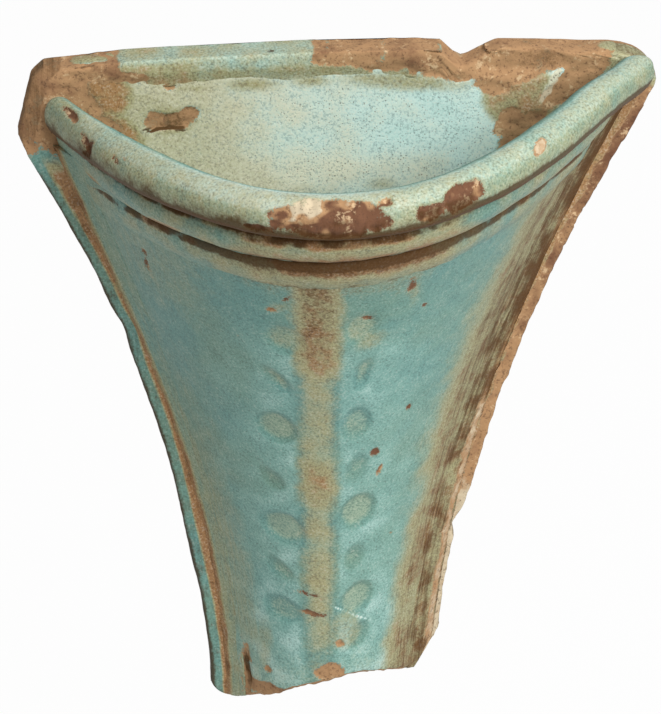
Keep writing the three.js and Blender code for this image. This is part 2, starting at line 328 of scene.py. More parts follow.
# How much of each thing shows: an amount and its weight, a pattern that breaks it up and its strength, and
# the two values of their sum between which it goes from nothing to all
cuts = (
    ("grey", patterns["cloud"], 1.0, patterns["mottle"], 0.3, 0.45, 0.8),
    ("pitted", patterns["grain"], -1.0, patterns["mottle"], -0.3, -0.66, -0.48),
    ("bright", patterns["grain"], 1.0, patterns["mottle"], 0.3, 0.68, 0.84),
    ("light", paleness, 1.0, speck, 0.3, 0.15, 0.75),
    ("chalky", paleness, 1.0, speck, 0.3, 0.47, 0.87),
    ("cream", paleness, 1.0, speck, 0.8, 1.0, 1.6),
    ("pooled", paleness, -1.0, speck, 2.0, 1.1, 2.1),
    ("stained", amounts["Green"], 1.4, smear, 1.3, 0.8, 1.9),
    ("rusty", amounts["Green"], 1.0, patterns["mottle"], 2.0, 1.8, 2.6),
    ("dirty", amounts["Blue"], 1.5, smear, 2.8, 1.95, 2.8),
    ("chipped", amounts["Red"], 1.0, patterns["grain"], 2.0, 0.8, 1.15),
    ("halo", amounts["Red"], 1.0, patterns["grain"], 2.0, 0.4, 0.85),
    ("tan", paleness, 1.0, patterns["mottle"], 1.4, 0.25, 1.0),
    ("washed", paleness, 1.0, patterns["mottle"], 1.4, 1.35, 1.9),
    ("clay_dark", patterns["clay"], -1.0, patterns["grain"], -0.5, -0.72, -0.55),
    ("clay_light", patterns["mottle"], 1.0, patterns["clay"], 0.6, 0.88, 1.0),
)
shows = {}
for name, amount, weight, pattern, strength, low, high in cuts:
    weighed = add(tree, "Math", {0: amount, 1: weight}, operation="MULTIPLY").outputs[0]
    broken = add(tree, "Math", {0: pattern, 1: strength, 2: weighed}, operation="MULTIPLY_ADD").outputs[0]
    ranged = {0: broken, 1: low, 2: high}
    shows[name] = add(tree, "MapRange", ranged, interpolation_type="SMOOTHSTEP").outputs[0]

# Pinholes of many widths: wider in pale glaze, and closed where stain has filled them
PINHOLE_WIDEST, PINHOLE_CLOSED, PINHOLE_RIM = 0.32, -0.06, 0.14
widths = add(tree, "SeparateColor", {0: pinholes.outputs["Color"]}).outputs[0]
for amount, weight in ((paleness, 0.45), (amounts["Green"], -1.2)):
    widths = add(tree, "Math", {0: amount, 1: weight, 2: widths}, operation="MULTIPLY_ADD").outputs[0]
sized = {0: widths, 1: PINHOLE_WIDEST, 2: PINHOLE_CLOSED}
widths = add(tree, "Math", sized, operation="MULTIPLY_ADD").outputs[0]
hole = add(tree, "Math", {0: widths, 1: pinholes.outputs["Distance"]}, operation="SUBTRACT").outputs[0]
shows["pinhole"] = add(tree, "MapRange", {0: hole, 1: 0.0, 2: PINHOLE_RIM}).outputs[0]


def layered(tree, ground, layers):
    """A colour with thin layers of other colours over it, each showing by its own share"""
    shown = linear(ground)
    for share, most, over in layers:
        share = add(tree, "Math", {0: share, 1: most}, operation="MULTIPLY").outputs[0]
        over = linear(over) if isinstance(over, str) else over
        shown = add(tree, "Mix", {0: share, 6: shown, 7: over}, data_type="RGBA").outputs[2]
    return shown


bare_clay = layered(tree, CLAY_RED_BROWN, [
    (shows["tan"], 1.0, CLAY_TAN),
    (shows["clay_light"], 0.7, CLAY_LIGHT),
    (shows["washed"], 0.8, CHALK),
    (shows["clay_dark"], 0.55, CLAY_DARK),
])
stain_film = layered(tree, OLIVE, [
    (shows["rusty"], 0.85, RUST),
    (shows["bright"], 0.12, CREAM),
    (shows["pitted"], 0.3, SIENNA),
])
surface = layered(tree, TURQUOISE, [
    (shows["grey"], 0.8, GREY_GREEN),
    (shows["light"], 0.9, LIGHT_TURQUOISE),
    (shows["chalky"], 0.95, CHALKY_TURQUOISE),
    (shows["cream"], 0.9, CREAM),
    (shows["pooled"], 0.9, POOLED_GREEN),
    (shows["stained"], 0.95, stain_film),
    (shows["bright"], 0.16, GRAIN_LIGHT),
    (shows["pitted"], 0.32, PIT_SHADE),
    (shows["pinhole"], 0.6, UMBER),
    (shows["halo"], 0.1, CHALK),
    (shows["chipped"], 1.0, bare_clay),
    (shows["dirty"], 0.85, UMBER),
])
tree.links.new(surface, shader.inputs["Base Color"])
GLAZE_ROUGHNESS, CLAY_ROUGHNESS = 0.55, 0.92
dullness = {0: shows["chipped"], 3: GLAZE_ROUGHNESS, 4: CLAY_ROUGHNESS}
tree.links.new(add(tree, "MapRange", dullness).outputs[0], shader.inputs["Roughness"])
GLAZE_IOR = 1.5
shader.inputs["IOR"].default_value = GLAZE_IOR
GLAZE_SHINE, DIRT_SHINE = 0.5, 0.1
shine = {0: shows["dirty"], 3: GLAZE_SHINE, 4: DIRT_SHINE}
tree.links.new(add(tree, "MapRange", shine).outputs[0], shader.inputs["Specular IOR Level"])
relief = add(tree, "Math", {0: patterns["grain"], 1: 0.3, 2: patterns["mottle"]}, operation="MULTIPLY_ADD")
for share, height in ((shows["pinhole"], -0.4), (shows["chipped"], -0.5), (shows["clay_dark"], -0.5)):
    relief = add(tree, "Math", {0: share, 1: height, 2: relief.outputs[0]}, operation="MULTIPLY_ADD")
RELIEF_MM = 0.12
bump = add(tree, "Bump", {"Height": relief.outputs[0], "Distance": RELIEF_MM * MM, "Strength": 0.7})
tree.links.new(bump.outputs[0], shader.inputs["Normal"])

# Where the slab has lost its glaze: oval marks at the corner, the spall, the top and the right side, each
# by its place, its half length and half height, and its turn in degrees. A stain has its strength last.
SLAB_LOSS = [
    (-64, 2, 7, 7), (-66, -7, 5, 9), (-60, -3, 6, 4, -25), (-53, -10, 5, 2.5, -40), (-72, -2, 4, 9, 15),
    (-38, -8, 5.4, 2.2), (-32.6, -6.6, 2.5, 2.4), (-41.5, -9.0, 2.6, 1.3),
    (33, 4.5, 6, 3.5), (44, 5, 11, 5.5), (56, 6.5, 8, 3.5), (41.5, -0.5, 4.5, 3), (66, 7, 8, 2.6, 35),
    (45.0, -11, 3.0, 4.5, -30), (48.5, -12.5, 2.6, 8, -43), (61.5, 1.0, 4.0, 11, -45),
    (-37.3, 1.1, 0.9, 0.7), (-58, 6.5, 6, 4), (27.0, 4.8, 4.5, 3.0),
]
SPALL = [(-38, -8, 5.8, 2.6), (-32.6, -6.6, 2.9, 2.7), (-41.5, -9.0, 3.0, 1.6)]
SLAB_STAIN = [
    (-52, -10, 10, 5, -38, 1.5), (-55, -1, 9, 7, 0, 1.5), (-44, -5, 7, 6, 0, 0.6),
    (-18, 1.2, 8, 2.0, 0, 0.9), (-3, 1.8, 5, 1.8, 0, 0.9), (10.3, 2.3, 6, 1.6, 0, 0.9),
    (-32, 0.5, 11, 2.0, 0, 0.7),
    (48, -4, 10, 9, -35, 1.2), (14, -27, 4.5, 2.2, 0, 0.62), (-38, -8, 8.5, 5, 0, 0.8),
    (20, 1.2, 18, 3.0, -4, 0.75), (-38, -16, 14, 5, -25, 0.45), (-22, -24, 16, 5, -15, 0.4),
    (-6, -29, 14, 3, 0, 0.4),
]
TOP_RIGHT_DIRT = (53, 6, 8, 4)
TOP_RIGHT_BREAK = (46, 7, 14, 6.5)
BREAK_DEPTH = 1.8
WORN_TOP_REACH = 4.0
SPALL_CRACK = (-38.5, -10.4, 6.0, 0.5, 2)
PALE_RIDGE = (55.0, -1.0, 0.9, 4.8, -26)
CORNER_FACET_WIDTH, CORNER_FACET_DEPTH = 5.4, 3.2

sheet, _, _, points, outwards = clay_sheet(SLAB_COLUMNS, SLAB_ROWS, slab_point)
x, y, z = points.T
on_face = ease(-y, 5.0, 7.6)
on_back = ease(y, -2.5, -0.3)
on_top = ease(z - top_edge(x), -2.6, -1.6) * (1 - on_face)
from_right = right_edge(z) - x
from_left = x + left_edge(z)
uneven = rough(points, 7.0, 11.0)
crack = ease(spot(x, z + 0.9 * rough(points, 2.2, 31.0), *SPALL_CRACK), -0.2, 0.2) * on_face
ridge = ease(spot(x, z, *PALE_RIDGE), -0.4, 0.3) * on_face

# Bare clay: the marks on the face, the worn top, the right flange, the broken left corner, the whole back
loss = np.where(on_face > 0.5, patches(x, z, SLAB_LOSS), GLAZED)
worn_middle = np.minimum(x + 3, 27 - x)
worn_right = np.minimum(x - 24, 0.4 * (66 - x))
worn_top = np.maximum(worn_middle, worn_right)
loss = np.where(z > top_edge(x) - WORN_TOP_REACH, np.maximum(loss, np.minimum(worn_top, 1.6)), loss)
right_flange = np.minimum(FLANGE_WIDTH - 0.8 - from_right, 0.25 * (-1 - z))
left_corner = np.minimum(7.0 - from_left, 0.25 * (z + 16))
loss = most(loss, right_flange, left_corner, GLAZED + 11 * crack)
loss = ragged(between(loss, BARE, on_back), points)

# Stains round the bare places, along the left seam, down the right side, on the top and in the pocket
left_seam = ease(from_left, 2.8, 4.0) * ease(-z, 14, 26) * ease(9 - from_left, 0, 2) * on_face
right_corner = ease(x, 56, 64) * ease(z, 0, 4)
inside = ease(z, -45, -25) * on_face * ease(from_left, 8, 13) * ease(from_right, 8, 13)
stain = most(
    *[strength * ease(spot(x, z, *mark), -2.0, 2.5) * on_face for *mark, strength in SLAB_STAIN],
    (2.0 + 1.0 * uneven) * left_seam,
    1.4 * ease(9.0 - from_right, 0.0, 3.0) * ease(-z, -5, 5),
    0.85 * right_corner,
    (0.5 + 0.5 * ease(-x, 42, 52)) * on_top,
    0.52 * ease(-x, -10, 36) * inside,
) * (1 - ridge)

# Dirt along both edges, on the top, in the left seam, on the broken corner, and in the spall and its crack
dirt = most(
    (0.8 * ease(1.3 - from_left, 0.0, 1.3) + 0.5 * ease(4.5 - from_left, 0.0, 1.5)) * ease(-z, 16, 24),
    0.6 * ease(0.9 - from_right, 0.0, 0.9),
    (0.35 + 0.3 * uneven) * on_top,
    (0.4 + 0.4 * uneven) * left_seam,
    0.6 * ease(CORNER_FACET_WIDTH - from_left, 0.0, 0.8) * ease(z, -18, -12),
    (0.55 + 0.3 * uneven) * ease(patches(x, z, SPALL), -0.3, 0.5) * on_face,
    1.5 * crack,
    0.55 * ease(spot(x, z, *TOP_RIGHT_DIRT), -2, 2) * on_face,
)

# The pocket's inside is palest, and creamier to the left; the bare clay is palest low down and on the ridge
pale = 0.7 + 0.16 * ease(-x, -28, 5) + 0.3 * ease(-x, 0, 35) + 0.25 * ease(-z, 16, 28) + 0.2 * uneven
pale = np.maximum(pale * inside + 0.3 * on_top, 0.6 * right_corner)
pale = between(pale, 1.7, ridge)
low_flange = ease(-z, 108, 124) * (1 - on_back)
clay_paleness = 0.3 + 0.4 * uneven * (1 - low_flange) + 0.85 * low_flange + 1.6 * ridge
clay_paleness = clay_paleness - 0.45 * ease(x, 45, 60) * ease(-z, 0, 12) * (1 - on_back)
pale = between(pale, clay_paleness, ease(loss, -0.3, 0.1))
wear_slab = wear_of(points, loss, stain, dirt, pale)

# Relief in millimetres: flaked and pitted places, and the corners that broke away
flaked = ease(loss, -0.3, 0.5)
depth = -0.35 * flaked + 0.2 * rough(points, 14.0) + (0.05 + 0.25 * flaked) * rough(points, 2.8)
depth = depth - 0.4 * ease(rough(points, 1.7, 5.0), 0.1, 0.6) * ease(loss, 0, 1)
points = points + outwards * (depth * (1 - on_back))[:, None]
facet = np.clip(1 - from_left / CORNER_FACET_WIDTH, 0, 1) * ease(z, -17, -12)
set_back = BREAK_DEPTH * ease(spot(x, z, *TOP_RIGHT_BREAK), -0.5, 3.0) + CORNER_FACET_DEPTH * facet
points[:, 1] *= 1 - set_back / SLAB_THICKNESS
flow_slab = np.stack([x, z, 0.5 * ease(8 - np.minimum(from_left, from_right), 0, 2)], axis=1)
settle("back_slab", sheet, points, wear_slab, flow_slab, glaze)


# Back lip
# A thin coil of the same clay laid along the top of the slab, inside the mouth, and smoothed into it.
# Its glaze is worn off from the middle to the chip, and dirt lies in the crease under it.
LIP_LEFT, LIP_RIGHT = -60.0, 28.5
LIP_FADE = 7.0
LIP_HEIGHT = 7.6
LIP_NOSE = 0.4
LIP_PROUD = 0.7
LIP_OVER, LIP_SUNK, LIP_END_SUNK = 0.3, 0.12, 0.9
LIP_BACK = -1.2
LIP_TOP_END, LIP_FRONT_END = 0.3, 0.85
LIP_SPOT = (-12.8, -6.5, 1.1, 0.9)
LIP_LOSS = [
    (8, 8.4, 9, 3.0), (20, 7.5, 9, 3.0), (-1, 8.6, 2.4, 2.0), (14, 5.6, 7, 1.8), (25, 5.0, 5, 3.0),
    (-58, 5, 9, 7), (-49, 3.0, 7, 2.8),
]


def lip_point(along, around):
    """Over the top of the slab, round its nose and down until it runs out on the slab's face"""
    x = between(LIP_LEFT, LIP_RIGHT, along)
    over = np.clip(around / LIP_TOP_END, 0, 1)
    down = np.clip((around - LIP_TOP_END) / (LIP_FRONT_END - LIP_TOP_END), 0, 1)
    back = np.clip((around - LIP_FRONT_END) / (1 - LIP_FRONT_END), 0, 1)
    fading = ease(x - LIP_LEFT, 0, LIP_FADE) * ease(LIP_RIGHT - x, 0, LIP_FADE)
    nose = np.sqrt(1 - (1 - np.minimum(down / LIP_NOSE, 1)) ** 2)
    tail = 0.5 + 0.5 * np.cos(math.pi * np.clip((down - LIP_NOSE) / (1 - LIP_NOSE), 0, 1))
    sunk = between(LIP_END_SUNK, LIP_SUNK, fading)
    y = between(LIP_BACK, SLAB_FACE, over - back) - (LIP_PROUD * nose * tail * fading - sunk) * (down > 0)
    z = top_edge(x) + LIP_OVER * (2 * fading - 1) - LIP_HEIGHT * (down - back)
    return np.stack([x, y, z], axis=1)


sheet, _, around, points, outwards = clay_sheet(columns=240, rows=48, place=lip_point)
x, y, z = points.T
down = np.clip((around - LIP_TOP_END) / (LIP_FRONT_END - LIP_TOP_END), 0, 1)
uneven = rough(points, 6.0, 12.0)
loss = ragged(patches(x, np.where(down > 0, z, top_edge(x)), LIP_LOSS), points)
ending = ease(x, LIP_LEFT + 4, LIP_LEFT + 14)
stain = 0.58 + 0.2 * ease(down, 0.25, 0.6) + 0.25 * uneven + 0.5 * ease(down, 0.0, 0.3) * ease(-x, 24, 50)
dirt = 0.05 + 0.25 * uneven * ending
dirt = np.maximum(dirt, 0.9 * ease(spot(x, y, *LIP_SPOT), -0.3, 0.4))
pale = between(0.5 + 0.25 * ease(down, 0.5, 0.9), 0.25 + 0.5 * uneven, ease(loss, -0.3, 0.1))
wear_lip = wear_of(points, loss, stain, dirt, pale)
flaked = ease(loss, -0.3, 0.5)
depth = -0.15 * flaked + 0.15 * rough(points, 9.0) + (0.06 + 0.2 * flaked) * rough(points, 2.5)
points = points + outwards * depth[:, None]
flow_lip = np.stack([x, z, 0 * x], axis=1)
settle("back_lip", sheet, points, wear_lip, flow_lip, glaze)


# Front wall
# The bowed front of the pocket, bent from one sheet of clay about 7.5 mm thick and luted to the slab along
# both feet. A branch with two rows of leaves is pressed into it, and its lower end is broken off.
WALL_THICKNESS = 7.5
WALL_TOP = -4.1
WALL_SET_IN = 5.8
LUTED_FACE = -8.3
LEFT_SET_IN = 9.0
MOUTH_TILT = 0.07
FRONT_DEPTH_MOUTH = 65.5
FRONT_DEPTH_LOW = 17.0
FOOT_SLOPE = 2 * FRONT_DEPTH_MOUTH / (HALF_WIDTH_MOUTH - WALL_SET_IN)
FOOT_SINE = FOOT_SLOPE / math.hypot(1, FOOT_SLOPE)


def wall_point(across, level, inset):
    """A point of the bow, from -1 at its left foot to 1 at its right, at a level and a depth in the clay"""
    opening = flare(level)
    right = half_width(level) - WALL_SET_IN - inset / FOOT_SINE
    left = LEFT_SET_IN * opening ** 3 - right
    depth = between(FRONT_DEPTH_LOW, FRONT_DEPTH_MOUTH, opening) - inset
    x = between(left, right, (across + 1) / 2)
    y = LUTED_FACE - depth * (1 - across ** 2)
    return np.stack([x, y, level + MOUTH_TILT * opening * x], axis=1)


def wall_end(across, inset):
    """The level at which the fracture cuts the wall"""
    level = np.full(len(across), BREAK_LEVEL)
    for _ in range(12):
        x, y, z = wall_point(across, level, inset).T
        level = level + break_level(x, y) - z
    return level


OUTSIDE_END, UNDER_END, INSIDE_END = 0.68, 0.71, 0.95


def wall_sheet(a, b):
    """Down the outside, under the broken end, up the inside and over the top"""
    outside = np.clip(b / OUTSIDE_END, 0, 1)
    under = np.clip((b - OUTSIDE_END) / (UNDER_END - OUTSIDE_END), 0, 1)
    inside = np.clip((b - UNDER_END) / (INSIDE_END - UNDER_END), 0, 1)
    over = np.clip((b - INSIDE_END) / (1 - INSIDE_END), 0, 1)
    across = 2 * a - 1
    inset = WALL_THICKNESS * (under - over)
    level = between(WALL_TOP, wall_end(across, inset), outside - inside)
    return wall_point(across, level, inset)


# The leaf branch: where its stem stands, and for each leaf its distance from the stem, its level, its half
# length and half width, and how clearly it is pressed
STEM_TOP, STEM_FOOT = -4.1, -2.2
STEM_FIRST_DEPTH, STEM_LAST_DEPTH = 30.0, 160.0
LEFT_TURN, RIGHT_TURN = -48.0, 74.0
LEAF_EDGE, LEAF_DEPTH = 2.4, 0.95
LEFT_LEAVES = [
    (-7.8, -44.5, 5.6, 5.2, 0.7), (-9.6, -60, 6.0, 2.6, 0.8), (-10.0, -78, 6.0, 5.4, 0.9),
    (-11.4, -97, 5.0, 2.8, 0.6), (-8.6, -114.5, 6.4, 5.6, 0.9), (-9.8, -130, 5.4, 2.8, 0.65),
    (-9.0, -144, 5.8, 4.8, 0.7),
]
RIGHT_LEAVES = [
    (10.4, -40, 6.4, 4.6, 0.7), (11.0, -57, 6.8, 2.8, 0.7), (9.6, -75, 6.8, 4.2, 0.75),
    (9.8, -91.4, 5.8, 2.8, 0.6), (9.8, -107.5, 7.0, 5.1, 0.9), (9.0, -124, 5.8, 2.8, 0.65),
    (9.8, -139.5, 6.8, 5.0, 0.9), (10.0, -153, 5.8, 3.0, 0.6),
]


def stem_at(level):
    """Where the stem stands across the front at a level"""
    return np.interp(-level, [STEM_FIRST_DEPTH, STEM_LAST_DEPTH], [STEM_TOP, STEM_FOOT])


def leaf_branch(x, z):
    """How deep the leaves are pressed at each point"""
    pressed = np.zeros(len(x))
    for turn, leaves in ((LEFT_TURN, LEFT_LEAVES), (RIGHT_TURN, RIGHT_LEAVES)):
        for from_stem, level, half_length, half_height, strength in leaves:
            leaf = spot(x, z, stem_at(level) + from_stem, level, half_length, half_height, turn)
            pressed = np.maximum(pressed, strength * ease(leaf, -0.3, LEAF_EDGE))
    return pressed


ARRIS_SHARE, ARRIS_NARROWING = 0.735, 0.175
ARRIS_TOP, ARRIS_LENGTH = 30, 127


def arris(z):
    """Where the front panel turns into the wiped side band, as a share of the bow"""
    return ARRIS_SHARE - ARRIS_NARROWING * ((-z - ARRIS_TOP) / ARRIS_LENGTH) ** 2


# The stem at depths below the mouth: its half width, and how much olive stain and brown dirt it holds
STEM_WIDTH_DEPTHS = [30, 60, 95, 165]
STEM_HALF_WIDTHS = [5.8, 5.0, 4.7, 4.2]
STEM_DEPTHS = [24, 36, 52, 60, 72, 86, 98, 106, 116, 130, 146, 166]
STEM_STAIN = [1.15, 1.1, 1.15, 0.55, 0.65, 0.65, 1.2, 0.65, 0.55, 0.75, 0.5, 0.3]
STEM_DIRT = [0.64, 0.6, 0.48, 0.2, 0.1, 0.15, 0.4, 0.15, 0.1, 0.3, 0.1, 0.1]

# Chips, scratches and stains of the wall, each given as on the slab
WALL_LOSS = [
    (0.5, -164.5, 4.2, 3.4), (-15, -176, 7, 3.2), (-9, -174, 5, 2), (-15.7, -167.4, 0.8, 1.2),
    (-5, -136.8, 2.9, 0.8, -14), (-5, -143.7, 2.6, 0.8, -5), (2.7, -154.7, 0.9, 1.0),
    (10.7, -87, 0.7, 0.8), (12.8, -93, 0.9, 2.2, -15), (16.1, -119.6, 0.5, 0.5), (18.2, -28.4, 1.0, 2.4),
    (21.4, -36.9, 0.3, 0.3), (-22.8, -47.9, 0.3, 0.4), (19.6, -74.4, 0.4, 0.6), (8, -37.3, 0.9, 0.5),
    (-14.6, -34.4, 1.1, 0.8), (-12.1, -30, 1.0, 0.5, 40), (-44, -36, 0.6, 2.2, 15), (-21.6, -174, 1.1, 8),
]
WALL_STAIN = [
    (19, -30, 2, 6), (9, -45, 5, 3, 40), (-4, -55, 6, 2), (-13, -33, 3, 2, 40),
    (-26.3, -126, 1.5, 10), (-30, -120, 2.5, 18), (-17, -160, 3, 12), (4, -150, 5, 8),
]
FISSURE = (-21.3, -173, 0.9, 8.5)
FISSURE_DEPTH = 0.35
WHITE_SCRATCH = (4.2, -143.2, 8.0, 0.28, -38)
HALF_BOW = 60.0

sheet, around, up, points, outwards = clay_sheet(columns=220, rows=330, place=wall_sheet)
x, y, z = points.T
across = 2 * around - 1
outside = up < OUTSIDE_END
inner = up > UNDER_END
uneven = rough(points, 6.0, 13.0)
wavering = x + 0.8 * rough(points, 7.0, 21.0)
pressed = leaf_branch(wavering, z + 0.8 * rough(points, 6.0, 22.0)) * outside
from_arris = arris(z) - np.abs(across) + 0.04 * uneven
side = ease(from_arris, 0.26 - 0.12 * ease(-z, 80, 130), -0.22) * outside
right_side = side * (across > 0)

# Bare clay: chips, scratches and the broken end
loss = np.where(outside, patches(wavering, z, WALL_LOSS), GLAZED)
broken_end = ease(up, OUTSIDE_END - 0.004, OUTSIDE_END) * (1 - ease(up, UNDER_END, UNDER_END + 0.004))
loss = ragged(np.maximum(loss, GLAZED + 13 * broken_end), points)

# The stem is a speckled olive band with ragged edges; more stain lies at the sides and under the rim
wander = np.where(x < stem_at(z), 1.0, 0.5) * (0.5 * uneven + 0.7 * rough(points, 2.5, 23.0))
stem_half = np.interp(-z, STEM_WIDTH_DEPTHS, STEM_HALF_WIDTHS) + wander
in_stem = stem_half - np.abs(x - stem_at(z))
on_stem = ease(in_stem, -3.6, 4.0)
stem_core = ease(in_stem, -1.5, 3.5)
spared = 1 - 0.3 * ease(rough(points, 16.0, 24.0), -0.1, 0.6)
side_stain = np.where(across > 0, 1.15, 0.3 + 0.2 * ease(-z, 70, 130))
under_roll = ease(z, -11, -7)
stain = outside * most(
    (np.interp(-z, STEM_DEPTHS, STEM_STAIN) + 0.3 * uneven) * on_stem,
    side * spared * side_stain,
    0.5 * pressed * ease(z, -80, -50),
    0.5 * ease(patches(wavering, z, WALL_STAIN), -1.5, 2.0),
    0.5 * ease(z, -34, -22) * ease(34 - np.abs(x), 0, 18),
    0.6 * ease(z, -46, -20) * ease(x, 34, 52),
    0.38 * ease(z, -80, -30) * ease(-x, 15, 40),
    0.3 * ease(-z, 140, 172),
    1.8 * under_roll,
)

# Dirt and a painted shadow just under the band; dirt in the wiped right side, on the stem, under the roll
# and in the fissure
dirt_and_shadow_under_band = 0.45 * ease(z, -34, -25) * ease(30 - np.abs(x), 0, 12)
dirt = outside * most(
    dirt_and_shadow_under_band + (0.73 - 0.1 * ease(-z, 60, 120)) * right_side * spared,
    np.interp(-z, STEM_DEPTHS, STEM_DIRT) * on_stem,
    0.8 * under_roll,
    (0.75 + 0.5 * uneven) * ease(spot(wavering, z, *FISSURE), -0.4, 0.5),
)

# Palest beside the stem, between the leaves, and greenest where glaze has pooled in leaves and stem
scratch = ease(spot(x, z, *WHITE_SCRATCH), -0.1, 0.2) * outside
beside_stem = np.where(x < stem_at(z), ease(x - stem_at(z), -36, -10), ease(stem_at(z) - x, -40, -12))
pale = 0.35 * beside_stem * ease(-z, 36, 52) + 0.08 * ease(-z, 110, 175) + 0.15 * uneven
pale = pale * (1 - stem_core) * (1 - pressed) - 0.9 * np.maximum(pressed, stem_core * ease(165 + z, 0, 20))
pale = pale * outside + 0.3 * inner + 0.9 * scratch
chip_paleness = -0.3 + 0.4 * uneven + 0.6 * ease(-z, 150, 162)
pale = between(pale, chip_paleness, ease(loss, -0.3, 0.1))
wear_wall = wear_of(points, loss, stain, dirt, pale)

# Relief in millimetres: pressed leaves, chips, the fissure, the arris and the rough broken end
depth = -LEAF_DEPTH * pressed - 0.3 * ease(loss, -0.2, 0.5)
depth = depth - FISSURE_DEPTH * ease(spot(wavering, z, *FISSURE), -0.6, 0.6) * outside
depth = depth + 0.15 * ease(from_arris, -0.02, 0.02) * ease(-z, 60, 110) * (across > 0) * outside
depth = depth + 0.3 * rough(points, 24.0) + 0.12 * rough(points, 7.0) + 0.04 * rough(points, 2.2)
depth = depth + 0.6 * broken_end * rough(points, 2.4, 4.0)
points = points + outwards * depth[:, None]
flow_wall = np.stack([HALF_BOW * across, z, side], axis=1)
settle("front_wall", sheet, points, wear_wall, flow_wall, glaze)


# Floor plug
# A plug of clay that closes the pocket above the broken end, pressed in from below and left unglazed.
# It is not in the photo: a pocket for flowers needs a floor.
FLOOR_LEVEL = -152.0
PLUG_CLEARANCE, PLUG_SLACK, PLUG_BACK_GAP = 7.3, 0.4, 0.2
PLUG_RECESS = 0.6


def plug_sheet(a, b):
    """From the middle of its top, over the edge, down its side and in under the broken end"""
    out = np.clip(b / 0.3, 0, 1) - np.clip((b - 0.7) / 0.3, 0, 1)
    down = np.clip((b - 0.3) / 0.4, 0, 1)
    turn = 2 * math.pi * a
    across = np.clip(1.35 * np.cos(turn), -1, 1)
    level = between(FLOOR_LEVEL, wall_end(across, PLUG_CLEARANCE) + PLUG_RECESS, down)
    edge = wall_point(across, level, PLUG_CLEARANCE + PLUG_SLACK)
    rim = np.where(np.sin(turn) < 0, edge[:, 1], LUTED_FACE - PLUG_BACK_GAP)
    middle = 0.5 * (LUTED_FACE + wall_point(0 * a, level, PLUG_CLEARANCE)[:, 1])
    x = edge[:, 0] * out
    y = between(middle, rim, out)
    z = np.where(down < 1, level, break_level(x, y) + PLUG_RECESS)
    return np.stack([x, y, z], axis=1)


sheet, _, _, points, outwards = clay_sheet(columns=72, rows=60, place=plug_sheet)
wear_plug = wear_of(points, loss=BARE)
points = points + outwards * (0.3 * rough(points, 3.0))[:, None]
settle("floor_plug", sheet, points, wear_plug, 0 * points, glaze)


# Inner coils
# Two soft coils pressed into the inner corners between wall and slab, so that the seams hold.
# They run down inside the pocket and are glazed with it.
COIL_SIZE = 5.0
COIL_TOP, COIL_FOOT_GAP = -14.0, 0.5
SLIP_JOINT = 0.3


def coil_sheet(side):
    """The sheet of one coil: down the seam, and round the coil's section"""
    def place(a, b):
        level = between(COIL_TOP, FLOOR_LEVEL + COIL_FOOT_GAP, a)
        taper = np.sqrt(np.clip(1 - (2 * a - 1) ** 20, 0.05, 1))
        foot = wall_point(np.full(len(a), side), level, WALL_THICKNESS + SLIP_JOINT)
        turn = 2 * math.pi * b
        bulge = 0.5 * COIL_SIZE * taper
        x = foot[:, 0] - side * (bulge * (1.25 - np.cos(turn)))
        y = LUTED_FACE - 0.1 - bulge * (1 + np.sin(turn)) * 0.9
        return np.stack([x, y, foot[:, 2]], axis=1)
    return place


for name, side in (("left_inner_coil", -1.0), ("right_inner_coil", 1.0)):
    sheet, _, _, points, outwards = clay_sheet(columns=120, rows=16, place=coil_sheet(side))
    wear_coil = wear_of(points, stain=0.5, dirt=0.3)
    points = points + outwards * (0.25 * rough(points, 6.0))[:, None]
    settle(name, sheet, points, wear_coil, points * (1, 0, 1), glaze)


# Seam fillets
# Soft clay worked into the outer corners between wall and slab, and wiped lengthwise with a wet finger.
# The wiping left long streaks, which hold brown dirt.
LEFT_FILLET_REACH, RIGHT_FILLET_REACH = 1.8, 3.4
FILLET_HEIGHT = 8.0
FILLET_TOP = -10.0
FILLET_BACK = 0.4
FILLET_TOE_SUNK = 0.6
BARE_TOE, BARE_TOE_LEVEL = 1.7, -92.0
FILLET_GIRTH = 12.0
BOW_LOW, BOW_MOUTH = 60, 110
FILLET_OUTSIDE_END, FILLET_BACK_END = 0.7, 0.92
RIGHT_SLITS = [(5.0, -55, 0.5, 3), (3.6, -66, 0.5, 4), (4.6, -72, 0.4, 2.5)]


def fillet_sheet(side, reach):
    """The sheet of one fillet: up its wiped face from the toe, back inside the wall, out along the slab"""
    def place(a, b):
        toe = reach * FOOT_SINE
        rise = np.clip(b / FILLET_OUTSIDE_END, 0, 1)
        back = np.clip((b - FILLET_OUTSIDE_END) / (FILLET_BACK_END - FILLET_OUTSIDE_END), 0, 1)
        out = np.clip((b - FILLET_BACK_END) / (1 - FILLET_BACK_END), 0, 1)
        bow = between(BOW_LOW, BOW_MOUTH, flare(FILLET_TOP * (1 - a) + BREAK_LEVEL * a))
        across = side * (1 - (rise - back) * FILLET_HEIGHT / bow)
        swell = toe * (1 - rise) ** 2
        inset = np.where(b > FILLET_OUTSIDE_END, FILLET_BACK * (1 - out) - out * toe, -swell)
        level = between(FILLET_TOP, wall_end(across, inset), a)
        placed = wall_point(across, level, inset)
        placed[:, 1] += FILLET_TOE_SUNK * ease(1 - rise + back, 0.75, 1.0)
        return placed
    return place


